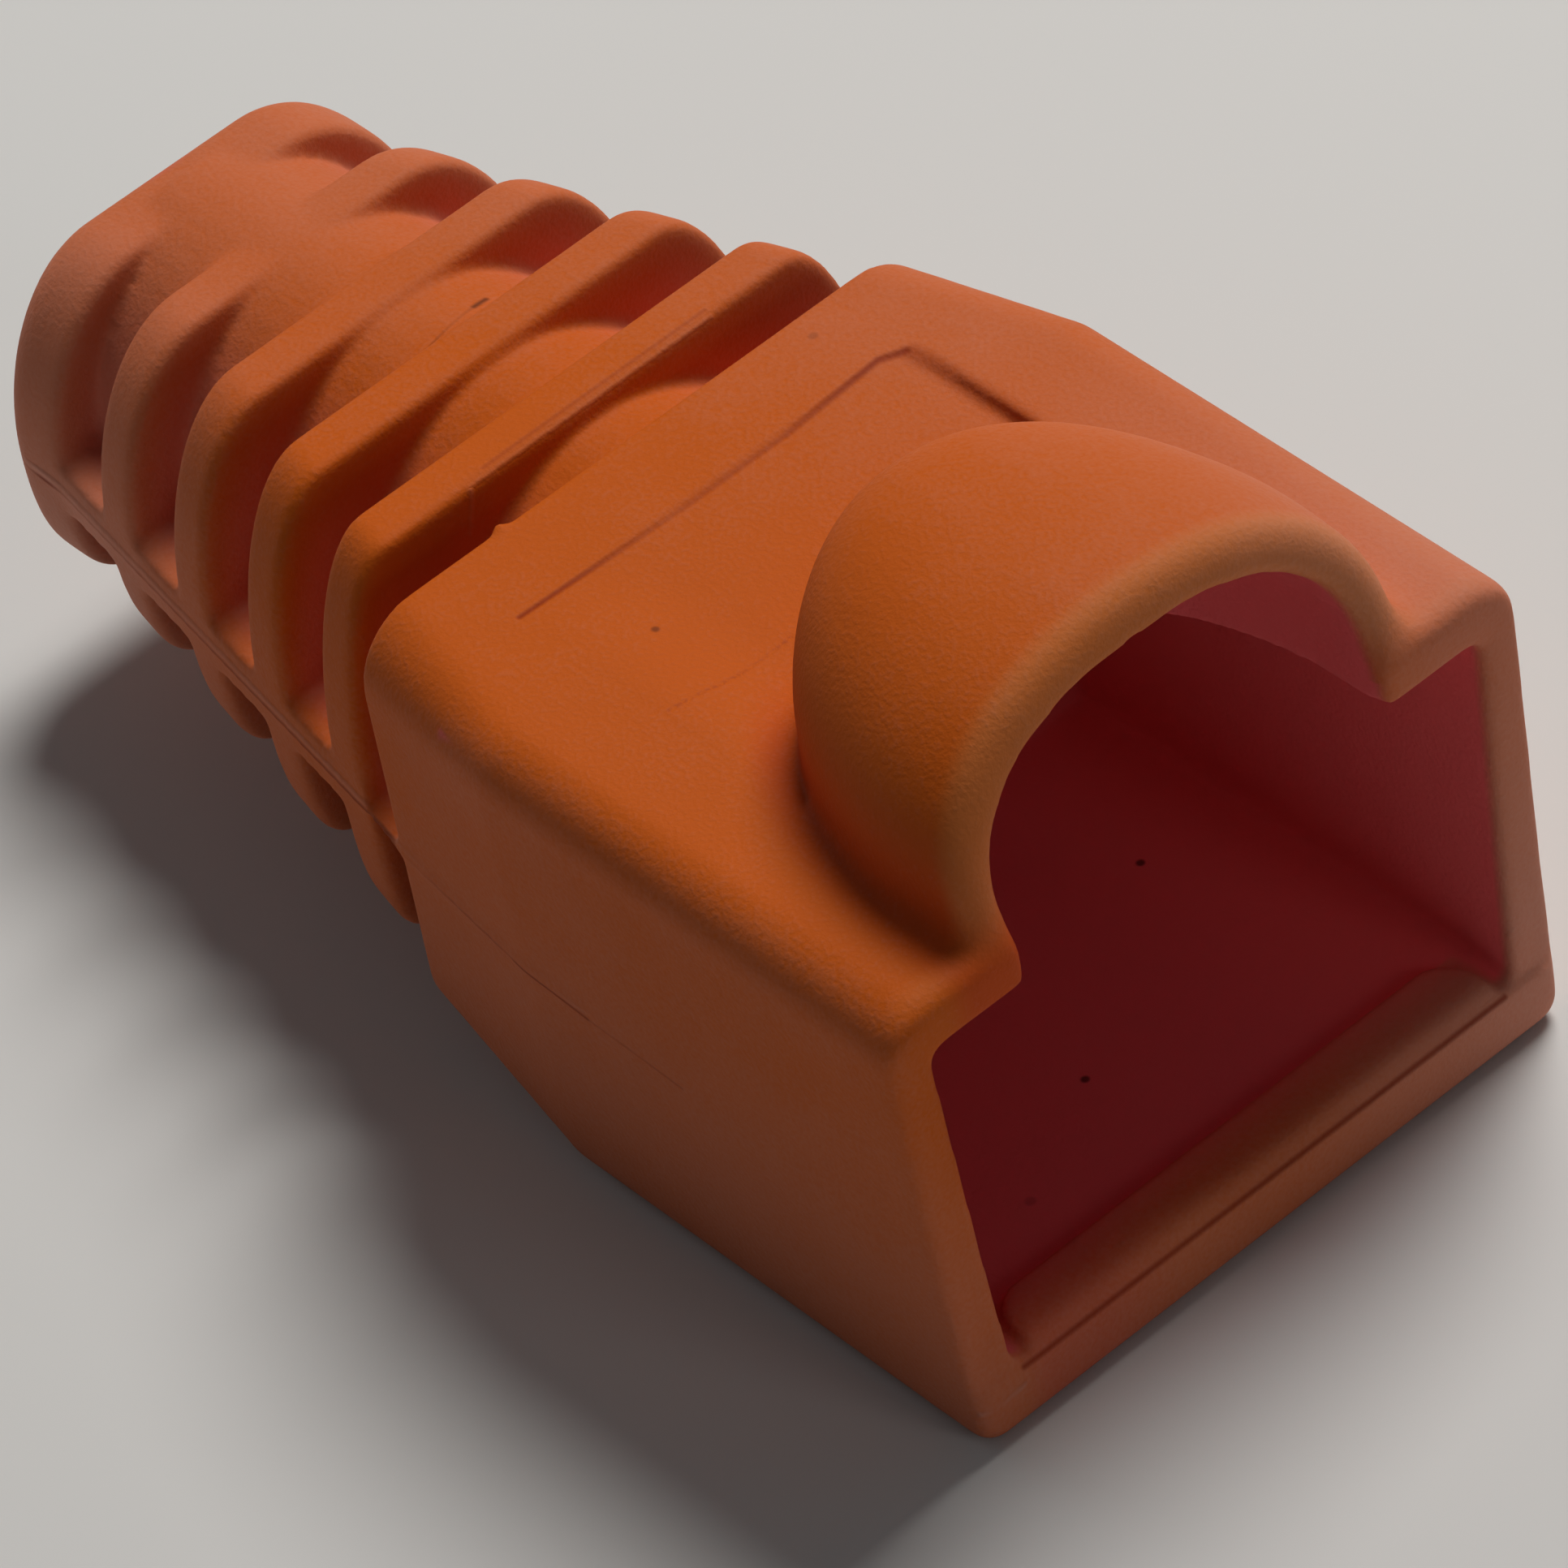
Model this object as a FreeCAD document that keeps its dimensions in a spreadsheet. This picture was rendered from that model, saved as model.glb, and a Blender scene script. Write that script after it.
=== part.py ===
"""Snap-on strain relief boot for a modular data plug, moulded in one piece of soft PVC.

Millimetres.  +X points out of the plug mouth, +Z up.  The flat underside of the head lies on Z = 0,
and the origin is under the middle of the boot's length.  While it is drawn, the mouth is at X = 0.
"""
import FreeCAD
import Part
import Sketcher
import math
import os

doc = FreeCAD.newDocument("strain_relief_boot")
Vector = FreeCAD.Vector
Rotation = FreeCAD.Rotation
Placement = FreeCAD.Placement

# ---------------------------------------------------------------- driving dimensions

SIZES = [
    ("cavity_half_roof", 6.0, "plug cavity, half width under the roof"),
    ("cavity_half_floor", 5.62, "plug cavity, half width at the floor"),
    ("cavity_height", 7.4, "plug cavity, floor to roof"),
    ("cavity_depth", 10.6, "plug cavity, mouth to back wall"),
    ("cavity_corner", 0.25, "plug cavity, corner radius"),
    ("floor_wall", 1.35, "wall under the cavity"),
    ("side_wall", 0.9, "wall beside the cavity"),
    ("roof_wall", 1.07, "wall over the cavity"),
    ("head_straight", 10.0, "head, straight length behind the mouth"),
    ("head_taper", 3.8, "head, length that narrows to the shoulder"),
    ("head_corner_top", 1.0, "head, rounding of the upper long edges"),
    ("head_corner_floor", 0.45, "head, rounding of the lower long edges"),
    ("shoulder_half_width", 6.22, "shoulder, half width"),
    ("shoulder_corner", 1.35, "shoulder, rounding of its upper edges"),
    ("shoulder_drop", 0.17, "shoulder, its top below the roof"),
    ("shoulder_lift", 1.34, "shoulder, height of its underside"),
    ("parting_height", 4.8, "height of the mould's parting line"),
    ("cable_height", 5.45, "height of the cable's axis"),
    ("first_gap", 1.03, "gap between the shoulder and the first rib"),
    ("rib_count", 4, "ribs between the shoulder and the collar"),
    ("rib_spacing", 2.53, "distance from one rib to the next"),
    ("rib_width", 1.15, "rib, width along the cable"),
    ("rib_edge", 0.2, "rib, rounding of its edges"),
    ("rib_half_width", 5.98, "first rib, half width"),
    ("rib_flat_top", 4.46, "first rib, half width of its flat top"),
    ("rib_flat_floor", 5.2, "first rib, half width of its flat underside"),
    ("rib_top", 9.74, "first rib, height of its top"),
    ("rib_floor", 1.51, "first rib, height of its underside"),
    ("collar_half_width", 4.28, "collar, half width"),
    ("collar_flat_top", 1.7, "collar, half width of its flat top"),
    ("collar_flat_floor", 2.2, "collar, half width of its flat underside"),
    ("collar_top", 8.58, "collar, height of its top"),
    ("collar_floor", 2.2, "collar, height of its underside"),
    ("collar_length", 1.75, "collar, length along the cable"),
    ("collar_edge", 0.85, "collar, rounding of its end"),
    ("tube_radius", 3.96, "tube between the ribs, radius at the shoulder"),
    ("tube_taper", 0.72, "tube between the ribs, radius lost along the tail"),
    ("rail_above", 0.5, "side rail, height above the parting line"),
    ("rail_below", 0.6, "side rail, height below the parting line"),
    ("seam_proud", 0.06, "parting seam, how far it stands out"),
    ("seam_thickness", 0.14, "parting seam, thickness"),
    ("seam_start", 7.5, "parting seam, distance of its front end from the mouth"),
    ("bore_radius", 2.5, "cable bore, radius"),
    ("funnel_length", 3.2, "cavity back wall to the cable bore"),
    ("funnel_radius", 3.5, "funnel, radius at the cavity"),
    ("hood_half_width", 4.85, "latch hood, half width"),
    ("hood_spring", 10.05, "latch hood, height where its arch begins"),
    ("hood_rise", 3.42, "latch hood, height of its arch"),
    ("hood_climb", 0.4, "latch hood, gain in height from front to back"),
    ("hood_wall", 0.9, "latch hood, wall"),
    ("hood_length", 7.15, "latch hood, mouth to the back of its dome"),
    ("hood_lean", 16.5, "latch hood, lean of its rim, degrees"),
    ("hood_lean_start", 9.4, "latch hood, height where its rim begins to lean"),
    ("hood_edge", 0.3, "latch hood, rounding of its rim"),
    ("recess_half_width", 4.25, "roof recess, half width"),
    ("recess_back", 11.8, "roof recess, distance of its back edge from the mouth"),
    ("recess_front", 3.2, "roof recess, distance of its front end from the mouth"),
    ("recess_depth", 0.13, "roof recess, depth at its back edge"),
    ("recess_fall", 2.2, "roof recess, slope of its floor, degrees"),
    ("recess_corner", 0.5, "roof recess, radius of the back corners"),
    ("band_height", 1.24, "front band, height"),
    ("band_proud", 0.1, "front band, how far it stands out"),
    ("band_edge", 0.35, "front band, rounding of its lower edge"),
    ("bead_height", 1.6, "floor bead, height of its top"),
    ("bead_length", 1.2, "floor bead, length behind the mouth"),
    ("bead_half_width", 5.2, "floor bead, half width"),
    ("bead_edge", 0.36, "floor bead, rounding of its front edge"),
    ("bead_corner", 0.7, "floor bead, radius of its back corners"),
]
FULL_ROUND = 0.5523      # Bezier handle of an elliptical quarter
FULL_SQUARE = 0.8        # Bezier handle of a squarer quarter
REACH = 4.0              # how far cutting bodies run past the boot
HALF = 0.5
DOUBLE = 2.0
FULL_ARCH = 0.64         # Bezier handle of a quarter slightly fuller than an ellipse
PLAN_POWER = 2.5         # how square the hood's plan is at the back
CROWN_POWER = 5.0        # how late the hood's ridge falls away at the back
DOME_STEPS = (0.0, 0.3, 0.55, 0.73, 0.86, 0.94, 0.98, 0.995)


class Size:
    """A dimension as a number and as the text of an expression on the sheet."""

    def __init__(self, value, text):
        self.value = float(value)
        self.text = text

    def joined(self, sign, other, value):
        other_text = other.text if isinstance(other, Size) else repr(float(other))
        return Size(value, "(%s %s %s)" % (self.text, sign, other_text))

    def __add__(self, other):
        return self.joined("+", other, self.value + number(other))

    def __sub__(self, other):
        return self.joined("-", other, self.value - number(other))

    def __mul__(self, other):
        return self.joined("*", other, self.value * number(other))

    def __truediv__(self, other):
        return self.joined("/", other, self.value / number(other))

    def __neg__(self):
        return Size(-self.value, "(-1 * %s)" % self.text)


def number(item):
    return item.value if isinstance(item, Size) else float(item)


def make_sheet():
    sheet = doc.addObject("Spreadsheet::Sheet", "sizes")
    sizes = {}
    for row, (alias, value, note) in enumerate(SIZES, start=1):
        sheet.set("A%d" % row, note)
        sheet.set("B%d" % row, str(value))
        sheet.setAlias("B%d" % row, alias)
        sizes[alias] = Size(value, "<<sizes>>.%s" % alias)
    doc.recompute()
    return sizes


S = make_sheet()
rib_count = int(S["rib_count"].value)
roof_inside = S["floor_wall"] + S["cavity_height"]
roof_outside = roof_inside + S["roof_wall"]
head_length = S["head_straight"] + S["head_taper"]
first_rib = head_length + S["first_gap"]
collar_front = first_rib + S["rib_spacing"] * S["rib_count"]
overall_length = collar_front + S["collar_length"]

# ---------------------------------------------------------------- small helpers

ACROSS = Rotation(Vector(1, 1, 1), 120)      # sketch x -> Y, sketch y -> Z, normal -> X
ALONG = Rotation(Vector(0, 1, 0), -90)       # the Z of a round body -> -X


def bind(item, **expressions):
    """Tie properties of a document object to the sheet; __ stands for a dot."""
    for path, size in expressions.items():
        item.setExpression(path.replace("__", "."), size.text)


def place(item, rotation=None, x=None, y=None, z=None):
    """Put an object in place, each coordinate tied to the sheet."""
    at = [number(value) if value is not None else 0.0 for value in (x, y, z)]
    item.Placement = Placement(Vector(*at), rotation or Rotation())
    for axis, value in zip("xyz", (x, y, z)):
        if isinstance(value, Size):
            item.setExpression("Placement.Base." + axis, value.text)


def box(name, length, width, height, x, y, z):
    body = doc.addObject("Part::Box", name)
    bind(body, Length=length, Width=width, Height=height)
    place(body, x=x, y=y, z=z)
    return body


def combine(kind, name, *bodies):
    """Fuse, common or cut: MultiFuse and MultiCommon take any number, Cut takes two."""
    result = doc.addObject("Part::" + kind, name)
    if kind == "Cut":
        result.Base, result.Tool = bodies
    else:
        result.Shapes = list(bodies)
    return result


def loft(name, *sections):
    body = doc.addObject("Part::Loft", name)
    body.Sections = list(sections)
    body.Solid = True
    body.Ruled = True
    return body


def rounded(name, base, radius, test):
    """Round every edge whose sampled points all pass the test."""
    doc.recompute()
    chosen = []
    for index, edge in enumerate(base.Shape.Edges, start=1):
        first, last = edge.ParameterRange
        points = [edge.valueAt(first + (last - first) * step / 4) for step in range(5)]
        if all(test(point) for point in points):
            chosen.append((index, radius.value, radius.value))
    if not chosen:
        raise RuntimeError(name + ": no edge to round")
    fillet = doc.addObject("Part::Fillet", name)
    fillet.Base = base
    fillet.Edges = chosen
    return fillet


def near(value, target, margin=1e-3):
    return abs(value - number(target)) < margin


class Outline:
    """A closed sketch outline across the boot, mirrored about its middle line."""

    def __init__(self, name, distance):
        self.sketch = doc.addObject("Sketcher::SketchObject", name)
        place(self.sketch, ACROSS, x=-distance)
        self.half = []

    def line(self, start, end):
        self.half.append((start, None, end, 0))
        return self

    def corner(self, start, knee, end, handle):
        """A rounded corner that leaves start and reaches end along the lines through the knee."""
        self.half.append((start, knee, end, handle))
        return self

    def curve(self, start, knee, end, handle):
        a, middle, b = [Vector(number(x), number(y), 0) for x, y in (start, knee or start, end)]
        if knee is None:
            return Part.LineSegment(a, b)
        quarter = Part.BSplineCurve()
        poles = [a, a + (middle - a) * handle, b + (middle - b) * handle, b]
        quarter.buildFromPoles(poles, False, 3)
        return quarter

    def close(self):
        """Add the right half upward, the mirrored left half downward, and tie the joints."""
        sketch = self.sketch
        right = [self.curve(*piece) for piece in self.half]
        left = []
        for start, knee, end, handle in reversed(self.half):
            mirrored = [spot and (-spot[0], spot[1]) for spot in (end, knee, start)]
            left.append(self.curve(*mirrored, handle))
        pieces = right + left
        sketch.addGeometry(pieces, False)
        for index in range(len(pieces)):
            after = (index + 1) % len(pieces)
            sketch.addConstraint(Sketcher.Constraint("Coincident", index, 2, after, 1))
        for index, (start, knee, end, handle) in enumerate(self.half):
            self.tie(index, "DistanceX", start[0], "across%d" % index)
            self.tie(index, "DistanceY", start[1], "up%d" % index)
        return sketch

    def tie(self, index, kind, size, label):
        if not isinstance(size, Size) or size.value == 0:
            return
        sketch = self.sketch
        number_of = sketch.addConstraint(Sketcher.Constraint(kind, -1, 1, index, 1, size.value))
        sketch.renameConstraint(number_of, label)
        sketch.setExpression("Constraints." + label, size.text)


ZERO = S["band_proud"] * 0


def slab_section(name, distance, low, high, floor, roof, corner_floor, corner_roof):
    """Flat top and bottom, drafted sides, small rounded corners."""
    outline = Outline(name, distance)
    draft = (high - low) / (roof - floor)
    side_low = (low + draft * corner_floor, floor + corner_floor)
    side_high = (high - draft * corner_roof, roof - corner_roof)
    outline.line((ZERO, floor), (low - corner_floor, floor))
    outline.corner((low - corner_floor, floor), (low, floor), side_low, FULL_ROUND)
    outline.line(side_low, side_high)
    outline.corner(side_high, (high, roof), (high - corner_roof, roof), FULL_ROUND)
    outline.line((high - corner_roof, roof), (ZERO, roof))
    return outline.close()


def oval_section(name, distance, waist, flat_floor, flat_top, floor, top):
    """Flat top and bottom, and full quarters that meet at the parting height."""
    outline = Outline(name, distance)
    middle = (waist, S["parting_height"])
    outline.line((ZERO, floor), (flat_floor, floor))
    outline.corner((flat_floor, floor), (waist, floor), middle, FULL_SQUARE)
    outline.corner(middle, (waist, top), (flat_top, top), FULL_ROUND)
    outline.line((flat_top, top), (ZERO, top))
    return outline.close()


def domed_vault(name, half, rise, length, front):
    """An arch on straight legs whose width and height fall away towards a domed back."""
    foot = S["floor_wall"] + S["cavity_height"] * HALF
    sections = []
    for index, step in enumerate(DOME_STEPS):
        width = half * (1 - step ** PLAN_POWER) ** (1 / PLAN_POWER)
        spring = S["hood_spring"] + S["hood_climb"] * step
        crown = spring + rise * (1 - step ** CROWN_POWER) ** (1 / CROWN_POWER)
        outline = Outline("%s_arch_%d" % (name, index), front + (length - front) * step)
        outline.line((ZERO, foot), (width, foot))
        outline.line((width, foot), (width, spring))
        outline.corner((width, spring), (width, crown), (ZERO, crown), FULL_ARCH)
        sections.append(outline.close())
    vault = loft(name, *sections)
    vault.Ruled = False
    return vault


# ---------------------------------------------------------------- head

half_low = S["cavity_half_floor"] + S["side_wall"]
half_high = S["cavity_half_roof"] + S["side_wall"]
straight_section = (half_low, half_high, ZERO, roof_outside,
                    S["head_corner_floor"], S["head_corner_top"])
head = loft(
    "head_block",
    slab_section("head_mouth", -S["band_proud"], *straight_section),
    slab_section("head_bend", S["head_straight"], *straight_section),
    slab_section("head_shoulder", head_length, S["shoulder_half_width"], S["shoulder_half_width"],
                 S["shoulder_lift"], roof_outside - S["shoulder_drop"],
                 S["head_corner_floor"], S["shoulder_corner"]))
band_rounded = rounded(
    "head_lower_edge", head, S["band_edge"],
    lambda point: near(point.x, S["band_proud"]) and point.z < S["band_height"].value)
wide = half_high * DOUBLE
above_band = box("above_band", S["band_proud"] + REACH, wide, roof_outside, ZERO, -half_high,
                 S["band_height"])
head_with_band = combine("Cut", "head_with_band", band_rounded, above_band)

recess_length = S["recess_back"] - S["recess_front"]
recess_box = box("recess_box", recess_length, S["recess_half_width"] * DOUBLE, roof_outside,
                 -S["recess_back"], -S["recess_half_width"], roof_outside - S["recess_depth"])
recess_box.Placement.Rotation = Rotation(Vector(0, 1, 0), S["recess_fall"].value)
recess = rounded("recess_pocket", recess_box, S["recess_corner"],
                 lambda point: near(point.x, -S["recess_back"], REACH * HALF) and
                 near(abs(point.y), S["recess_half_width"]))

# ---------------------------------------------------------------- latch hood

hood_block = domed_vault("hood_block", S["hood_half_width"], S["hood_rise"], S["hood_length"], ZERO)
rim_cutter = box("rim_cutter", S["hood_length"], wide, S["hood_length"], ZERO, -half_high,
                 S["hood_lean_start"])
rim_cutter.Placement.Rotation = Rotation(Vector(0, 1, 0), -S["hood_lean"].value)
hood_sharp = combine("Cut", "hood_sharp", hood_block, rim_cutter)
rim_slope = math.tan(math.radians(S["hood_lean"].value))
hood = rounded(
    "hood", hood_sharp, S["hood_edge"],
    lambda point: near(point.x, (S["hood_lean_start"].value - point.z) * rim_slope) and
    (point.z > roof_outside.value or abs(point.y) > S["hood_half_width"].value * HALF))
hollow = domed_vault("hood_hollow", S["hood_half_width"] - S["hood_wall"],
                     S["hood_rise"] - S["hood_wall"], S["hood_length"] - S["hood_wall"],
                     -S["band_proud"])

# ---------------------------------------------------------------- ribbed tail

envelope = loft(
    "tail_envelope",
    oval_section("tail_front", first_rib, S["rib_half_width"], S["rib_flat_floor"],
                 S["rib_flat_top"], S["rib_floor"], S["rib_top"]),
    oval_section("tail_collar", collar_front, S["collar_half_width"], S["collar_flat_floor"],
                 S["collar_flat_top"], S["collar_floor"], S["collar_top"]),
    oval_section("tail_end", overall_length, S["collar_half_width"], S["collar_flat_floor"],
                 S["collar_flat_top"], S["collar_floor"], S["collar_top"]))


def tail_slice(name, distance, length, height=roof_outside * DOUBLE, floor=ZERO):
    """The part of the tail's envelope inside one slab across it."""
    slab = box(name + "_slab", length, wide, height, -(distance + length), -half_high, floor)
    return combine("MultiCommon", name, envelope, slab)


tail_parts = []
for index in range(rib_count):
    front = first_rib + S["rib_spacing"] * float(index)
    rib = tail_slice("rib_%d" % (index + 1), front, S["rib_width"])
    ends = (front.value, front.value + S["rib_width"].value)
    tail_parts.append(rounded(
        "soft_rib_%d" % (index + 1), rib, S["rib_edge"],
        lambda point: any(near(-point.x, end) for end in ends)))
collar = tail_slice("collar", collar_front, S["collar_length"])
collar_end = rounded("collar_end", collar, S["collar_edge"],
                     lambda point: near(-point.x, overall_length))
tail_parts.append(rounded("collar_soft", collar_end, S["rib_edge"],
                          lambda point: near(-point.x, collar_front)))
tail_parts.append(tail_slice("side_rails", first_rib, collar_front - first_rib + S["collar_edge"],
                             S["rail_above"] + S["rail_below"],
                             S["parting_height"] - S["rail_below"]))

tube = doc.addObject("Part::Cone", "tube")
tube_start = head_length - S["first_gap"]
bind(tube, Radius1=S["tube_radius"], Radius2=S["tube_radius"] - S["tube_taper"],
     Height=collar_front - tube_start + S["collar_edge"])
place(tube, ALONG, x=-tube_start, z=S["cable_height"])

# ---------------------------------------------------------------- parting seam


def seam_outline():
    """Plan of the head and the tail's rails, slightly larger, for the seam that stands out."""
    mouth_half = (half_low + half_high) * HALF
    collar_stop = collar_front + S["collar_edge"]
    corners = [
        (-S["seam_start"], mouth_half),
        (-S["head_straight"], mouth_half + S["seam_proud"]),
        (-head_length, S["shoulder_half_width"] + S["seam_proud"]),
        (-first_rib, S["rib_half_width"] + S["seam_proud"]),
        (-collar_front, S["collar_half_width"] + S["seam_proud"]),
        (-collar_stop, S["collar_half_width"]),
    ]
    sketch = doc.addObject("Sketcher::SketchObject", "seam_plan")
    place(sketch, z=S["parting_height"] - S["seam_thickness"] * HALF)
    ring = corners + [(x, -y) for x, y in reversed(corners)]
    points = [Vector(x.value, y.value, 0) for x, y in ring]
    count = len(points)
    sketch.addGeometry([Part.LineSegment(points[index], points[(index + 1) % count])
                        for index in range(count)], False)
    for index, (x, y) in enumerate(ring):
        before = (index - 1) % count
        sketch.addConstraint(Sketcher.Constraint("Coincident", before, 2, index, 1))
        for kind, size in (("DistanceX", x), ("DistanceY", y)):
            label = "%s%d" % (kind[-1].lower(), index)
            constraint = Sketcher.Constraint(kind, -1, 1, index, 1, size.value)
            sketch.renameConstraint(sketch.addConstraint(constraint), label)
            sketch.setExpression("Constraints." + label, size.text)
    return sketch


seam = doc.addObject("Part::Extrusion", "parting_seam")
seam.Base = seam_outline()
seam.DirMode = "Normal"
seam.Solid = True
bind(seam, LengthFwd=S["seam_thickness"])

# ---------------------------------------------------------------- cavity, funnel and cable bore

cavity_outline = Outline("cavity_outline", -S["band_proud"] * DOUBLE)
cavity_outline.line((ZERO, S["floor_wall"]), (S["cavity_half_floor"], S["floor_wall"]))
cavity_outline.line((S["cavity_half_floor"], S["floor_wall"]), (S["cavity_half_roof"], roof_inside))
cavity_outline.line((S["cavity_half_roof"], roof_inside), (ZERO, roof_inside))
cavity_block = doc.addObject("Part::Extrusion", "cavity_block")
cavity_block.Base = cavity_outline.close()
cavity_block.DirMode = "Normal"
cavity_block.Reversed = True
cavity_block.Solid = True
bind(cavity_block, LengthFwd=S["cavity_depth"] + S["band_proud"] * DOUBLE)
cavity = rounded("cavity", cavity_block, S["cavity_corner"],
                 lambda point: abs(point.y) > S["bead_half_width"].value and
                 (near(point.z, S["floor_wall"]) or near(point.z, roof_inside)))

funnel = doc.addObject("Part::Cone", "funnel")
bind(funnel, Radius1=S["funnel_radius"], Radius2=S["bore_radius"], Height=S["funnel_length"])
place(funnel, ALONG, x=-S["cavity_depth"], z=S["cable_height"])
bore = doc.addObject("Part::Cylinder", "cable_bore")
bind(bore, Radius=S["bore_radius"], Height=overall_length)
place(bore, ALONG, x=-S["cavity_depth"], z=S["cable_height"])

# ---------------------------------------------------------------- floor bead

bead_foot = S["floor_wall"] * HALF
bead_box = box("bead_box", S["bead_length"], S["bead_half_width"] * DOUBLE,
               S["bead_height"] - bead_foot, -S["bead_length"], -S["bead_half_width"], bead_foot)
bead_corners = rounded("bead_corners", bead_box, S["bead_corner"],
                       lambda point: near(point.x, -S["bead_length"]) and
                       near(abs(point.y), S["bead_half_width"]))
bead = rounded("floor_bead", bead_corners, S["bead_edge"],
               lambda point: near(point.x, 0) and near(point.z, S["bead_height"]))

# ---------------------------------------------------------------- one moulded piece

head_open = combine("Cut", "head_with_recess", head_with_band, recess)
outside = combine("MultiFuse", "outside", head_open, hood, tube, seam, *tail_parts)
hollows = combine("MultiFuse", "hollows", cavity, hollow, funnel, bore)
shell = combine("Cut", "shell", outside, hollows)
boot = combine("MultiFuse", "boot", shell, bead)
boot.Label = "boot"
bind(boot, Placement__Base__x=overall_length * HALF)
doc.recompute()

os.makedirs("parts", exist_ok=True)
for item in doc.Objects:
    if "Invalid" in item.State or "Error" in item.State:
        raise RuntimeError("%s failed: %s" % (item.Name, item.State))
if boot.Shape.isNull() or not boot.Shape.isValid() or len(boot.Shape.Solids) != 1:
    raise RuntimeError("the boot is not one valid solid")
boot.Shape.exportStep("parts/%s.step" % boot.Label)
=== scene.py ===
"""The strain relief boot: one piece of soft moulded PVC on a plain pale floor."""

import bmesh
import bpy
import math
import numpy as np
from mathutils import Matrix, Vector


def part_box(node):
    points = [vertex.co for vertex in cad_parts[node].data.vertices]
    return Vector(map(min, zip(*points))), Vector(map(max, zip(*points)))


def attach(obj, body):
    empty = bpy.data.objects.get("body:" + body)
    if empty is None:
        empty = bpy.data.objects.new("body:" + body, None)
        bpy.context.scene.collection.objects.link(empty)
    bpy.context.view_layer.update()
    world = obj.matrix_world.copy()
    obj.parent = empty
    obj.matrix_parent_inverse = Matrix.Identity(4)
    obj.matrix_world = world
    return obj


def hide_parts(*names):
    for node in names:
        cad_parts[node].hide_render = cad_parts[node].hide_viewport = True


MM = 0.001

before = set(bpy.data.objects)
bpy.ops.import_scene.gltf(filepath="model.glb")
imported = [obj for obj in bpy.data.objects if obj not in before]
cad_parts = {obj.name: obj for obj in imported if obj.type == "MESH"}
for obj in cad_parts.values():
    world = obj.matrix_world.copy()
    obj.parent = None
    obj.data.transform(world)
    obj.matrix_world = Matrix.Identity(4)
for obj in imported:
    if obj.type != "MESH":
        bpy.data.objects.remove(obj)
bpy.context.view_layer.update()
_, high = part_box("boot")
BAND_PROUD = 0.1
mouth_x = high.x / MM - BAND_PROUD

# Lengths are in millimetres from the mouth plane (x), the middle plane (y) and the floor (z).
# The lamps and the floor's half width are in metres.

# ---------------------------------------------------------------- sizes of the boot

ROOF = 9.82
HEAD_STRAIGHT = 10.0     # from the mouth to where the roof starts to fall
HEAD_TAPER = 3.8
HEAD_BACK = 13.8
SHOULDER_DROP = 0.17
BAND_HEIGHT = 1.24
BEAD_LENGTH = 1.2
BEAD_HALF_WIDTH = 5.2
PARTING_HEIGHT = 4.8
CABLE_HEIGHT = 5.45
FUNNEL_SLOPE = 0.3

HOOD_HALF_WIDTH = 4.85
HOOD_RISE = 3.42
HOOD_SPRING = 10.15
HOOD_LENGTH = 7.15
HOOD_WALL = 0.9
HOOD_PLAN_POWER = 2.5    # of the curves that the hood follows in plan, in profile and across
CROWN_POWER = 5.0
ARCH_POWER = 2.2
RIM_START = 9.4          # height where the mouth begins to lean back, and its slope
RIM_SLOPE = 0.296

RECESS_BACK = 11.8
RECESS_HALF_WIDTH = 4.25
RECESS_DEEPEST = 0.45
NICK_AT = (-13.78, -2.95, 9.62)
NICK_PUSH = (-0.09, 0, 0.07)
NICK_RADIUS = 0.14

FIRST_RIB = 14.83
COLLAR_FRONT = 24.95
# Half width, its flat part, and the heights above and below the parting line.
RIB_SECTION = (5.98, 4.46, 4.94, 3.29)
COLLAR_SECTION = (4.28, 1.70, 3.78, 2.60)

# ---------------------------------------------------------------- camera

CAMERA_AT = Vector((112.02, -83.02, 143.0))
CAMERA_LOOKS_AT = Vector((-8.874, -1.774, 5.945))
CAMERA_ROLL = -11.603
LENS = 281.4
SENSOR = 36.0


def add_camera():
    data = bpy.data.cameras.new("camera")
    data.lens = LENS
    data.sensor_width = SENSOR
    data.clip_start = 1 * MM
    camera = bpy.data.objects.new("camera", data)
    bpy.context.scene.collection.objects.link(camera)
    aim = (CAMERA_LOOKS_AT - CAMERA_AT).to_track_quat("-Z", "Y").to_matrix()
    roll = Matrix.Rotation(math.radians(CAMERA_ROLL), 3, "Z")
    place = (CAMERA_AT + Vector((mouth_x, 0, 0))) * MM
    camera.matrix_world = Matrix.Translation(place) @ (aim @ roll).to_4x4()
    bpy.context.scene.camera = camera


add_camera()

# ---------------------------------------------------------------- the moulded skin

VOXEL = 0.07             # of the even skin, before it is thinned
MERGE_METRES = 1e-7
TRIANGLES = 190000       # how many the finished skin keeps
STEP = 0.6               # share of the way to the neighbours' mean in one round
BASE_ROUNDS = 8
RIM_ROUNDS = 12
HOOD_RIM_ROUNDS = 60
FOOT_ROUNDS = 90


def evaluated(obj, name):
    """A new mesh from the object with its modifiers applied."""
    graph = bpy.context.evaluated_depsgraph_get()
    mesh = bpy.data.meshes.new_from_object(obj.evaluated_get(graph))
    mesh.name = name
    return mesh


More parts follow.
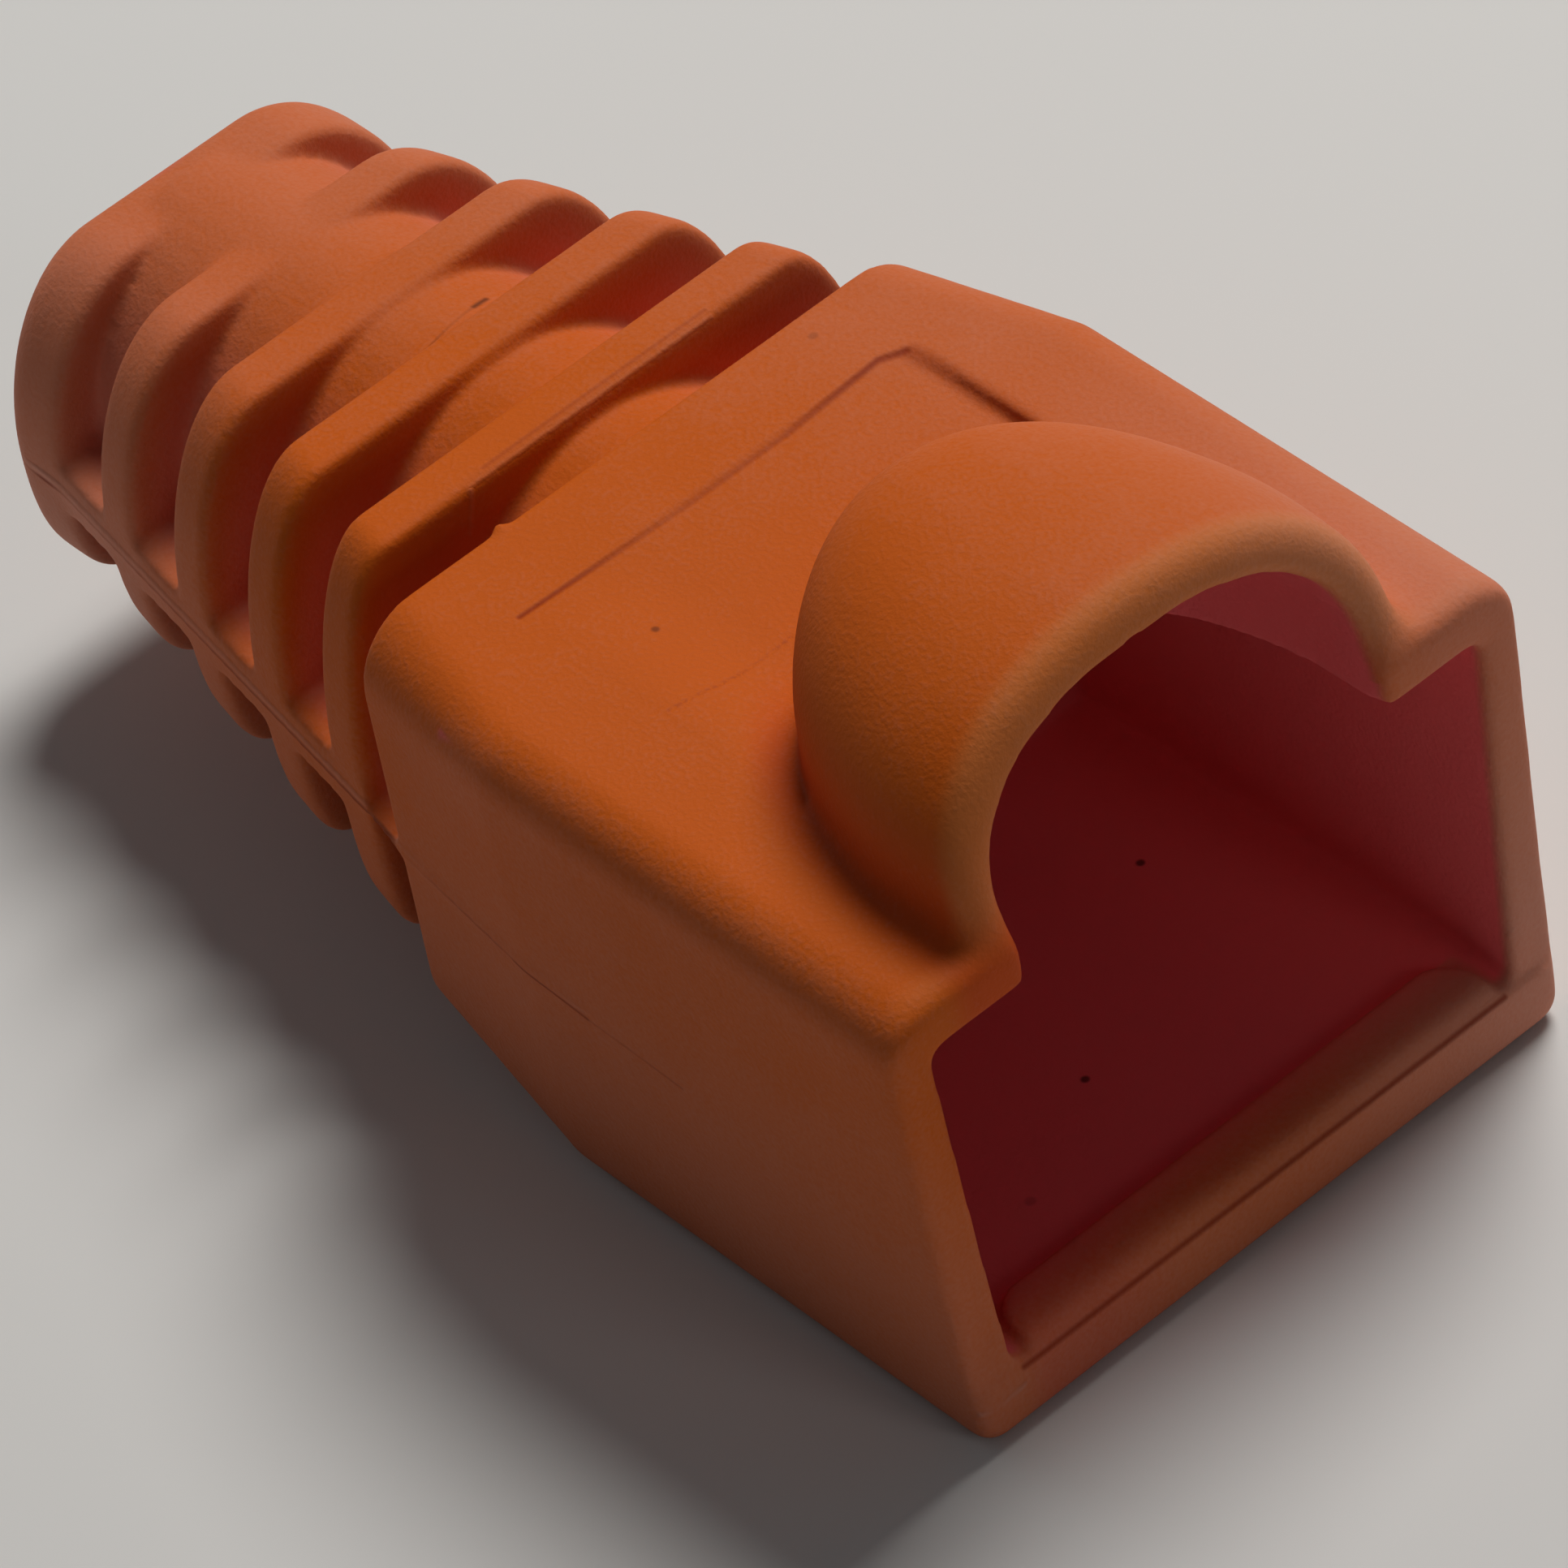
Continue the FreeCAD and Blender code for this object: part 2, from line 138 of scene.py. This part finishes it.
def remeshed(source):
    """An even, closed skin over the CAD solid."""
    copy = source.data.copy()
    work = bmesh.new()
    work.from_mesh(copy)
    bmesh.ops.remove_doubles(work, verts=work.verts, dist=MERGE_METRES)
    work.to_mesh(copy)
    work.free()
    carrier = bpy.data.objects.new("carrier", copy)
    bpy.context.scene.collection.objects.link(carrier)
    remesh = carrier.modifiers.new("remesh", "REMESH")
    remesh.mode = "VOXEL"
    remesh.voxel_size = VOXEL * MM
    carrier.data = evaluated(carrier, "boot_skin")
    carrier.modifiers.clear()
    return carrier


def get_points(mesh):
    """Positions in millimetres from the mouth plane."""
    points = np.empty(len(mesh.vertices) * 3)
    mesh.vertices.foreach_get("co", points)
    points = points.reshape(-1, 3) / MM
    points[:, 0] -= mouth_x
    return points


def set_points(mesh, points):
    moved = points + np.array([mouth_x, 0, 0])
    mesh.vertices.foreach_set("co", (moved * MM).ravel())
    mesh.update()


class Smoother:
    """Moves every point towards the mean of its neighbours, by its own weight."""

    def __init__(self, mesh):
        edges = np.empty(len(mesh.edges) * 2, int)
        mesh.edges.foreach_get("vertices", edges)
        self.a, self.b = edges.reshape(-1, 2).T
        self.count = len(mesh.vertices)
        self.links = np.bincount(self.a, minlength=self.count)
        self.links = self.links + np.bincount(self.b, minlength=self.count)

    def mean(self, values):
        total = np.bincount(self.a, values[self.b], self.count)
        total += np.bincount(self.b, values[self.a], self.count)
        return total / self.links

    def smooth(self, points, weight, rounds):
        for _ in range(rounds):
            target = np.stack([self.mean(points[:, axis]) for axis in range(3)], 1)
            points = points + (target - points) * (STEP * weight)[:, None]
        return points


def smoothstep(start, end, values):
    t = np.clip((values - start) / (end - start), 0, 1)
    return t * t * (3 - 2 * t)


def bell(values, width):
    """1 at zero, falling away on both sides."""
    return np.exp(-(values / width) ** 2)


def hood_plan_ratio(points):
    """1 on the outline of the hood in plan, smaller inside it."""
    back = np.clip(-points[:, 0] / HOOD_LENGTH, 0, 2)
    side = np.abs(points[:, 1]) / HOOD_HALF_WIDTH
    return (back ** HOOD_PLAN_POWER + side ** HOOD_PLAN_POWER) ** (1 / HOOD_PLAN_POWER)


def run_out_recess(points):
    """Lift the recess's floor to the roof towards its -Y side."""
    x, y, z = points.T
    roof = ROOF - SHOULDER_DROP * np.clip((-x - HEAD_STRAIGHT) / HEAD_TAPER, 0, 1)
    in_recess = (z < roof - 0.02) & (z > ROOF - RECESS_DEEPEST) & (x > -RECESS_BACK) & (x < -1)
    in_recess &= (np.abs(y) < RECESS_HALF_WIDTH + 0.05) & (hood_plan_ratio(points) > 1.0)
    run_out = 1 - smoothstep(-RECESS_HALF_WIDTH + 0.1, -RECESS_HALF_WIDTH + 2.4, y)
    z += np.where(in_recess, (roof - z) * run_out, 0)


def crisp_edges(points):
    """1 at the recess's back, the band's ledge and the bead's back, which stay sharper."""
    x, y, z = points.T
    recess = bell(x + RECESS_BACK, 0.25) * (z > ROOF - 0.5)
    recess *= smoothstep(-RECESS_HALF_WIDTH, -RECESS_HALF_WIDTH + 1.2, y)
    ledge = bell(z - BAND_HEIGHT, 0.2) * (x > -0.15) * smoothstep(6.6, 5.8, np.abs(y))
    bead = bell(x + BEAD_LENGTH, 0.2) * (z < 1.8)
    return np.maximum(np.maximum(recess, ledge), bead)


def rim_weight(points):
    """1 on the mouth's leaning plane, and 0 near the floor band."""
    x, _, z = points.T
    distance = x + RIM_SLOPE * np.clip(z - RIM_START, 0, None)
    return bell(distance, 0.3) * smoothstep(1.5, 4.0, z)


def foot_weight(points):
    """1 where the hood rises from the roof."""
    x, _, z = points.T
    foot = (hood_plan_ratio(points) - 1) * (HOOD_HALF_WIDTH + HOOD_LENGTH) / 2
    weight = bell(foot, 0.6) * bell(z - ROOF, 0.7) * smoothstep(0.2, 0.9, -x)
    return np.clip(weight * 1.4, 0, 1)


def soften(mesh):
    """Round the skin as soft PVC is, most at the hood's rim and foot."""
    points = get_points(mesh)
    smoother = Smoother(mesh)
    run_out_recess(points)
    points = smoother.smooth(points, 1 - 0.8 * crisp_edges(points), BASE_ROUNDS)
    at_rim = rim_weight(points)
    points = smoother.smooth(points, at_rim, RIM_ROUNDS)
    at_hood_rim = at_rim * smoothstep(9.3, 10.3, points[:, 2])
    points = smoother.smooth(points, at_hood_rim, HOOD_RIM_ROUNDS)
    nick = np.exp(-((points - NICK_AT) ** 2).sum(1) / NICK_RADIUS ** 2)
    points += nick[:, None] * np.array(NICK_PUSH)
    points = smoother.smooth(points, foot_weight(points), FOOT_ROUNDS)
    set_points(mesh, points)


def make_skin():
    carrier = remeshed(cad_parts["boot"])
    soften(carrier.data)
    decimate = carrier.modifiers.new("decimate", "DECIMATE")
    decimate.ratio = TRIANGLES / (2 * len(carrier.data.polygons))
    mesh = evaluated(carrier, "boot_moulded")
    bpy.data.objects.remove(carrier)
    mesh.polygons.foreach_set("use_smooth", [True] * len(mesh.polygons))
    skin = bpy.data.objects.new("boot_moulded", mesh)
    bpy.context.scene.collection.objects.link(skin)
    return skin


skin = make_skin()
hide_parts("boot")
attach(skin, "root")

# ---------------------------------------------------------------- material

OUTSIDE_COLOUR = (0.57, 0.103, 0.0057, 1)
# Painted light in the cavity: a redder shade for light bounced around inside, lighter on the +Y
# wall.
INSIDE_SHADE_COLOUR = (0.72, 0.12, 0.13, 1)
INSIDE_FAR_LIGHT_COLOUR = (0.92, 0.165, 0.165, 1)
# Painted shade on the hood's -Y side and at its foot.
HOOD_SHADE_COLOUR = (0.53, 0.05, 0.0045, 1)
# Painted shade between the ribs, redder for light bounced in the grooves.
GROOVE_SHADE_COLOUR = (0.69, 0.145, 0.08, 1)
# Painted highlight on the hood's rolled rim.
RIM_HIGHLIGHT_COLOUR = (0.62, 0.20, 0.055, 1)
# Painted pale light: a haze of scattered light, and the highlight on the flash.
PALE_LIGHT_COLOUR = (0.71, 0.64, 0.61, 1)
DIRT_COLOUR = (0.02, 0.006, 0.004, 1)
# Dark lines: real seams, scratches and a mould line, and painted shade in steps.
DARK_LINE_AND_SHADE_COLOUR = (0.24, 0.018, 0.0007, 1)
ROUGHNESS = 0.65
SPECULAR = 0.12
GRAIN_SCALE = 11.0       # of the fine grain and the broad clouds, per millimetre
CLOUD_SCALE = 0.55
GRAIN_RELIEF = 0.014
CLOUD_RELIEF = 0.03
FLASH_RELIEF = 0.03
SEAM_RELIEF = 0.02
LINE_RELIEF = 0.015
SCRATCH_RELIEF = 0.006


def add_node(tree, kind, settings, values):
    """A node with its settings made first, then its sockets filled or linked."""
    node = tree.nodes.new("ShaderNode" + kind)
    for name, setting in settings.items():
        setattr(node, name, setting)
    for key, value in values.items():
        value = getattr(value, "socket", value)
        if isinstance(value, bpy.types.NodeSocket):
            tree.links.new(value, node.inputs[key])
        else:
            node.inputs[key].default_value = value
    return node


class Field:
    """A shader value; arithmetic on it adds Math nodes."""

    def __init__(self, tree, socket):
        self.tree = tree
        self.socket = socket

    def maths(self, operation, *items, clamp=False):
        settings = {"operation": operation, "use_clamp": clamp}
        node = add_node(self.tree, "Math", settings, dict(enumerate(items)))
        return Field(self.tree, node.outputs[0])

    def __add__(self, other):
        return self.maths("ADD", self, other)

    def __sub__(self, other):
        return self.maths("SUBTRACT", self, other)

    def __rsub__(self, other):
        return self.maths("SUBTRACT", other, self)

    def __mul__(self, other):
        return self.maths("MULTIPLY", self, other)

    def __truediv__(self, other):
        return self.maths("DIVIDE", self, other)

    def __pow__(self, other):
        return self.maths("POWER", self, other)

    def __neg__(self):
        return self * -1

    def __abs__(self):
        return self.maths("ABSOLUTE", self)

    __radd__ = __add__
    __rmul__ = __mul__

    def higher(self, other):
        return self.maths("MAXIMUM", self, other)

    def clamped(self):
        return self.maths("ADD", self, 0, clamp=True)

    def ramp(self, start, end):
        """0 at start and 1 at end, smooth between; start may be the larger."""
        rising = start < end
        node = add_node(self.tree, "MapRange", {"interpolation_type": "SMOOTHSTEP"}, {
            "Value": self, "From Min": min(start, end), "From Max": max(start, end),
            "To Min": 0.0 if rising else 1.0, "To Max": 1.0 if rising else 0.0})
        return Field(self.tree, node.outputs["Result"])


class Place:
    """The shaded point in millimetres from the mouth plane."""

    def __init__(self, tree):
        self.tree = tree
        coordinates = add_node(tree, "TexCoord", {}, {})
        scaled = self.vector("SCALE", coordinates.outputs["Object"], Scale=1 / MM)
        self.socket = self.vector("SUBTRACT", scaled, (mouth_x, 0, 0))
        self.x, self.y, self.z = self.parts(self.socket)

    def vector(self, operation, *items, output="Vector", **named):
        values = {**dict(enumerate(items)), **named}
        node = add_node(self.tree, "VectorMath", {"operation": operation}, values)
        return node.outputs[output]

    def parts(self, socket):
        node = add_node(self.tree, "SeparateXYZ", {}, {0: socket})
        return [Field(self.tree, output) for output in node.outputs]

    def length(self, socket):
        return Field(self.tree, self.vector("LENGTH", socket, output="Value"))

    def noise(self, scale, detail=2.0):
        node = add_node(self.tree, "TexNoise", {}, {
            "Vector": self, "Scale": scale, "Detail": detail})
        return Field(self.tree, node.outputs["Fac"])

    def mirrored(self):
        """The same place on the +Y side."""
        node = add_node(self.tree, "CombineXYZ", {}, {0: self.x, 1: abs(self.y), 2: self.z})
        return node.outputs["Vector"]

    def line(self, start, end, width, socket=None):
        """1 on the line between two points and 0 at the width."""
        along = Vector(end) - Vector(start)
        gap = self.vector("SUBTRACT", socket or self.socket, start)
        share = self.vector("DOT_PRODUCT", gap, along / along.length_squared, output="Value")
        nearest = self.vector("SCALE", along, Scale=Field(self.tree, share).clamped())
        return self.length(self.vector("SUBTRACT", gap, nearest)).ramp(width, 0)

    def spot(self, centre, radius):
        return self.length(self.vector("SUBTRACT", self.socket, centre)).ramp(
            radius, radius * 0.4)


def strongest(fields):
    result = fields[0]
    for field in fields[1:]:
        result = result.higher(field)
    return result


def strokes(place, rows, socket=None):
    """The strongest of several lines, each given as start, end, width and strength."""
    return strongest([place.line(start, end, width, socket) * strength
                      for start, end, width, strength in rows])


def mixed(tree, below, above, factor):
    """Lay one colour over another."""
    values = {"Factor": factor, "A": below, "B": above}
    return add_node(tree, "Mix", {"data_type": "RGBA"}, values).outputs["Result"]


def rim_distance(place):
    """Distance from the mouth's leaning plane, negative behind it."""
    return place.x + (place.z - RIM_START).higher(0) * RIM_SLOPE


def inside_of(place):
    """1 on the walls of the plug cavity, under the hood and in the bore.

    Its borders lie inside the walls, so that only faces within take the painted red shade and
    bounce light.
    """
    half = abs(place.y)
    z = place.z
    cavity = (half - z * 0.05).ramp(6.15, 6.0) * z.ramp(0.95, 1.05) * z.ramp(9.3, 9.2)
    cavity = cavity * place.x.ramp(-0.08, -0.35) * place.x.ramp(-11.4, -11.2)
    bead = z.ramp(2.0, 1.75) * place.x.ramp(-BEAD_LENGTH - 0.08, -BEAD_LENGTH + 0.04)
    bead = bead * half.ramp(BEAD_HALF_WIDTH + 0.3, BEAD_HALF_WIDTH)
    bead = bead * (place.x.ramp(-BEAD_LENGTH, -0.3) * 0.45 + 0.55)
    cavity = cavity * (1 - bead)
    back = (-place.x * (1 / (HOOD_LENGTH - HOOD_WALL / 2))).higher(0)
    across = half * (1 / (HOOD_HALF_WIDTH - HOOD_WALL / 2))
    plan = back ** HOOD_PLAN_POWER + across ** HOOD_PLAN_POWER
    crown = (1 - back ** CROWN_POWER).higher(0.001) ** (1 / CROWN_POWER)
    crown = crown * (HOOD_RISE - HOOD_WALL / 2)
    arch = across ** ARCH_POWER + ((z - HOOD_SPRING).higher(0) / crown) ** ARCH_POWER
    hood = plan.ramp(1.02, 0.98) * arch.ramp(1.02, 0.98) * z.ramp(8.7, 8.8)
    hood = hood * rim_distance(place).ramp(-0.15, -0.5)
    around = place.vector("SUBTRACT", place.socket, (0, 0, CABLE_HEIGHT))
    radius = place.length(place.vector("MULTIPLY", around, (0, 1, 1)))
    radius = radius - (place.x + HEAD_BACK).higher(0) * FUNNEL_SLOPE
    bore = radius.ramp(3.1, 2.9) * place.x.ramp(-10.4, -10.6) * place.x.ramp(-26.5, -26.0)
    return cavity.higher(hood).higher(bore)


def hood_side_shade(place):
    """Where painted shade goes: 1 on the -Y side of the hood and in the hollow at its foot."""
    back = (-place.x * (1 / HOOD_LENGTH)).higher(0)
    side = abs(place.y) * (1 / HOOD_HALF_WIDTH)
    plan = back ** HOOD_PLAN_POWER + side ** HOOD_PLAN_POWER
    return plan.ramp(1.5, 1.05) * place.y.ramp(-1.5, -4.0) * place.z.ramp(12.2, 10.4)


def hood_rim(place):
    """1 on the rolled front edge of the hood, where the painted highlight goes."""
    return rim_distance(place).ramp(-0.6, -0.15) * place.z.ramp(9.4, 10.6)


def groove_depth(place):
    """0 on the outside of the ribs and 1 deep between them."""
    back = (-place.x - FIRST_RIB) * (1 / (COLLAR_FRONT - FIRST_RIB))
    waist, flat, top, bottom = [rib - back * (rib - collar)
                                for rib, collar in zip(RIB_SECTION, COLLAR_SECTION)]
    above = place.z - PARTING_HEIGHT
    across = ((abs(place.y) - flat).higher(0) / (waist - flat)) ** 2.0
    upright = (above / top).higher(-above / bottom) ** 2.0
    return (across + upright).ramp(0.8, 0.3) * place.x.ramp(-13.7, -13.9)


def parting_line(place):
    """The mould's parting line: along the rails, then over the head's sides until it fades."""
    return strokes(place, (
        ((-26.0, 4.2, 4.8), (-13.8, 6.2, 4.8), 0.08, 1.0),
        ((-13.8, 6.2, 4.8), (-10.2, 6.75, 4.78), 0.07, 0.6),
        ((-10.4, 6.73, 4.78), (-8.5, 6.72, 4.56), 0.07, 1.0),
        ((-8.5, 6.72, 4.56), (-6.2, 6.7, 4.47), 0.06, 0.4)), place.mirrored())


def shade_and_mould_lines(place):
    """Fine dark lines: painted shade along the steps at the back of the roof recess and over the
    floor band, and a mould line on the first rib.
    """
    return strokes(place, (
        ((-11.8, -4.2, 9.75), (-11.67, -0.8, 9.75), 0.10, 1.0),
        ((-11.67, -0.8, 9.75), (-11.66, 1.5, 9.74), 0.11, 1.0),
        ((-11.66, 1.5, 9.74), (-11.8, 3.7, 9.74), 0.12, 1.0),
        ((-11.8, 3.7, 9.74), (-11.6, 4.15, 9.74), 0.14, 1.0),
        ((-15.03, -2.2, 9.72), (-15.03, 2.7, 9.72), 0.08, 0.5),
        ((0.05, -5.5, 1.25), (0.05, 5.3, 1.25), 0.09, 1.0)))


def recess_shadow(place):
    """The redder foot of the recess's +Y side."""
    return place.line((-11.5, 4.2, 9.72), (-8.7, 4.3, 9.66), 0.30)


def scratches(place):
    """A faint scratch across the roof."""
    return strokes(place, (
        ((-8.17, -4.12, 9.82), (-8.06, -2.92, 9.67), 0.08, 1.0),
        ((-8.06, -2.92, 9.67), (-8.14, -1.56, 9.55), 0.08, 1.0)))


def flash_lines(place):
    """Thin raised flash on the first rib and over the parting line, and a raised line on the
    band's -Y corner; all take a painted highlight.
    """
    flash = strokes(place, (
        ((-14.87, -2.6, 9.68), (-14.86, 2.7, 9.66), 0.10, 0.7),
        ((-14.86, -2.63, 9.6), (-14.83, -2.85, 8.8), 0.09, 0.5),
        ((-0.02, -6.45, 0.86), (0.1, -5.6, 0.93), 0.10, 1.0)))
    over_parting_line = strokes(place, (
        ((-26.0, 4.2, 4.93), (-13.8, 6.2, 4.93), 0.12, 1.0),
        ((-13.8, 6.2, 4.93), (-8.5, 6.74, 4.72), 0.10, 0.5)), place.mirrored())
    return flash.higher(over_parting_line)


def dirt_specks(place):
    """Specks on the cavity's floor and the roof, and a dark stroke on a rib."""
    spots = (((-9.87, -2.95, 9.68), 0.11, 0.55), ((-6.83, 3.54, 1.35), 0.11, 0.8),
             ((-3.84, -0.51, 1.35), 0.11, 0.8), ((-2.5, -2.98, 1.35), 0.14, 0.25),
             ((-13.14, 3.45, 9.68), 0.12, 0.25))
    specks = strongest([place.spot(centre, radius) * strength
                        for centre, radius, strength in spots])
    return specks.higher(strokes(place, (
        ((-18.86, 0.75, 8.98), (-18.92, 1.05, 8.9), 0.10, 0.7),
        ((-18.6, -0.5, 9.1), (-18.86, 0.75, 8.98), 0.07, 0.3))))


def painted_haze_and_mottle(place, cloud, grain):
    """How much painted pale haze of scattered light lies on the outside: most on the far side,
    low down and on the tail, with a random mottle from the grain and clouds.
    """
    x, y, z = place.x, place.y, place.z
    painted_haze = y.ramp(0.0, 8.0) * (x.ramp(-10.0, 0.0) * 0.11 + 0.07)
    painted_haze = painted_haze + x.ramp(-15.0, -27.0) * 0.07 + z.ramp(8.5, 0.5) * 0.10
    painted_haze = painted_haze + x.ramp(-9.0, -12.0) * y.ramp(-2.0, 2.0) * 0.015
    painted_haze = painted_haze + z.ramp(11.0, 13.0) * y.ramp(-3.0, 1.0) * 0.02
    painted_haze = painted_haze + y.ramp(-6.0, -6.9) * 0.04
    painted_haze = painted_haze + x.ramp(-19.0, -26.0) * y.ramp(0.0, -4.0) * 0.08
    return painted_haze + (cloud - 0.5) * 0.05 + (grain - 0.5) * 0.10


def add_material():
    soft = bpy.data.materials.new("orange_soft_pvc")
    soft.use_nodes = True
    tree = soft.node_tree
    shader = tree.nodes["Principled BSDF"]
    place = Place(tree)
    inside = inside_of(place)
    outside = 1 - inside

    grain = place.noise(GRAIN_SCALE)
    cloud = place.noise(CLOUD_SCALE)
    seam = parting_line(place) * outside
    lines = shade_and_mould_lines(place)
    scratch = scratches(place)
    flash = flash_lines(place)

    # Painted light: a pale haze of scattered light over the outside, with a random mottle.
    painted_haze = (painted_haze_and_mottle(place, cloud, grain) * outside).clamped()
    # Painted light inside: a redder shade for light bounced around the cavity, lighter towards
    # its +Y wall.
    inside_painted_light = mixed(tree, INSIDE_SHADE_COLOUR, INSIDE_FAR_LIGHT_COLOUR, place.y.ramp(1.0, 6.0))
    # Painted shade: a deeper orange on the hood's -Y side and in the hollow at its foot.
    colour = mixed(tree, OUTSIDE_COLOUR, HOOD_SHADE_COLOUR, hood_side_shade(place) * 0.6)
    # Painted shade: redder deep between the ribs, where light bounces in the grooves.
    colour = mixed(tree, colour, GROOVE_SHADE_COLOUR, groove_depth(place) * 0.8)
    # Painted highlight along the hood's rolled front edge.
    colour = mixed(tree, colour, RIM_HIGHLIGHT_COLOUR, hood_rim(place) * 0.6)
    colour = mixed(tree, colour, inside_painted_light, inside)
    colour = mixed(tree, colour, PALE_LIGHT_COLOUR, painted_haze)
    # Dark lines: the parting line and the first rib's mould line are real; those at the recess's
    # back and over the floor band are painted step shade.
    colour = mixed(tree, colour, DARK_LINE_AND_SHADE_COLOUR, seam.higher(lines) * 0.8)
    colour = mixed(tree, colour, DARK_LINE_AND_SHADE_COLOUR, recess_shadow(place) * 0.4)
    colour = mixed(tree, colour, DARK_LINE_AND_SHADE_COLOUR, scratch * grain.ramp(0.4, 0.6) * 0.35)
    # Painted highlight on the raised flash and the band's -Y corner.
    colour = mixed(tree, colour, PALE_LIGHT_COLOUR, flash * 0.10)
    colour = mixed(tree, colour, DIRT_COLOUR, dirt_specks(place))
    tree.links.new(colour, shader.inputs["Base Color"])

    height = (grain - 0.5) * GRAIN_RELIEF + (cloud - 0.5) * CLOUD_RELIEF
    height = height + flash * FLASH_RELIEF - seam * SEAM_RELIEF
    height = height - lines * LINE_RELIEF - scratch * SCRATCH_RELIEF
    bump = add_node(tree, "Bump", {}, {"Strength": 1.0, "Distance": MM, "Height": height})
    tree.links.new(bump.outputs["Normal"], shader.inputs["Normal"])
    shader.inputs["Roughness"].default_value = ROUGHNESS
    shader.inputs["Specular IOR Level"].default_value = SPECULAR
    return soft


soft = add_material()
skin.data.materials.clear()
skin.data.materials.append(soft)

# ---------------------------------------------------------------- floor and light

FLOOR_HALF = 1.5         # metres
FLOOR_DROP = 0.02
FLOOR_COLOUR = (0.70, 0.70, 0.69, 1)
FLOOR_ROUGHNESS = 0.8
WORLD_COLOUR = (0.93, 0.96, 1, 1)
WORLD_STRENGTH = 0.066


def add_floor():
    mesh = bpy.data.meshes.new("floor")
    sheet = bmesh.new()
    bmesh.ops.create_grid(sheet, x_segments=1, y_segments=1, size=FLOOR_HALF)
    sheet.to_mesh(mesh)
    sheet.free()
    floor = bpy.data.objects.new("floor", mesh)
    bpy.context.scene.collection.objects.link(floor)
    floor.location.z = -FLOOR_DROP * MM
    pale = bpy.data.materials.new("pale_floor")
    pale.use_nodes = True
    pale_shader = pale.node_tree.nodes["Principled BSDF"]
    pale_shader.inputs["Base Color"].default_value = FLOOR_COLOUR
    pale_shader.inputs["Roughness"].default_value = FLOOR_ROUGHNESS
    mesh.materials.append(pale)


def add_lamp(name, place, size, power, colour):
    """A round soft lamp, in metres and watts, aimed at the boot."""
    data = bpy.data.lights.new(name, "AREA")
    data.shape = "DISK"
    data.size = size
    data.energy = power
    data.color = colour
    lamp = bpy.data.objects.new(name, data)
    bpy.context.scene.collection.objects.link(lamp)
    lamp.location = place
    lamp.rotation_mode = "QUATERNION"
    lamp.rotation_quaternion = (-Vector(place)).to_track_quat("-Z", "Y")


def add_world():
    world = bpy.data.worlds.new("world")
    bpy.context.scene.world = world
    world.use_nodes = True
    background = world.node_tree.nodes["Background"]
    background.inputs["Color"].default_value = WORLD_COLOUR
    background.inputs["Strength"].default_value = WORLD_STRENGTH


add_floor()
add_lamp("key", (-0.06, 0.16, 0.27), 0.15, 0.84, (1, 0.97, 0.93))
add_lamp("fill", (0.34, 0.06, 0.15), 0.12, 0.065, (1, 1, 1))
add_lamp("tail_fill", (-0.35, -0.06, 0.10), 0.12, 0.075, (1, 1, 1))
add_world()

bpy.context.scene.view_settings.view_transform = "Standard"
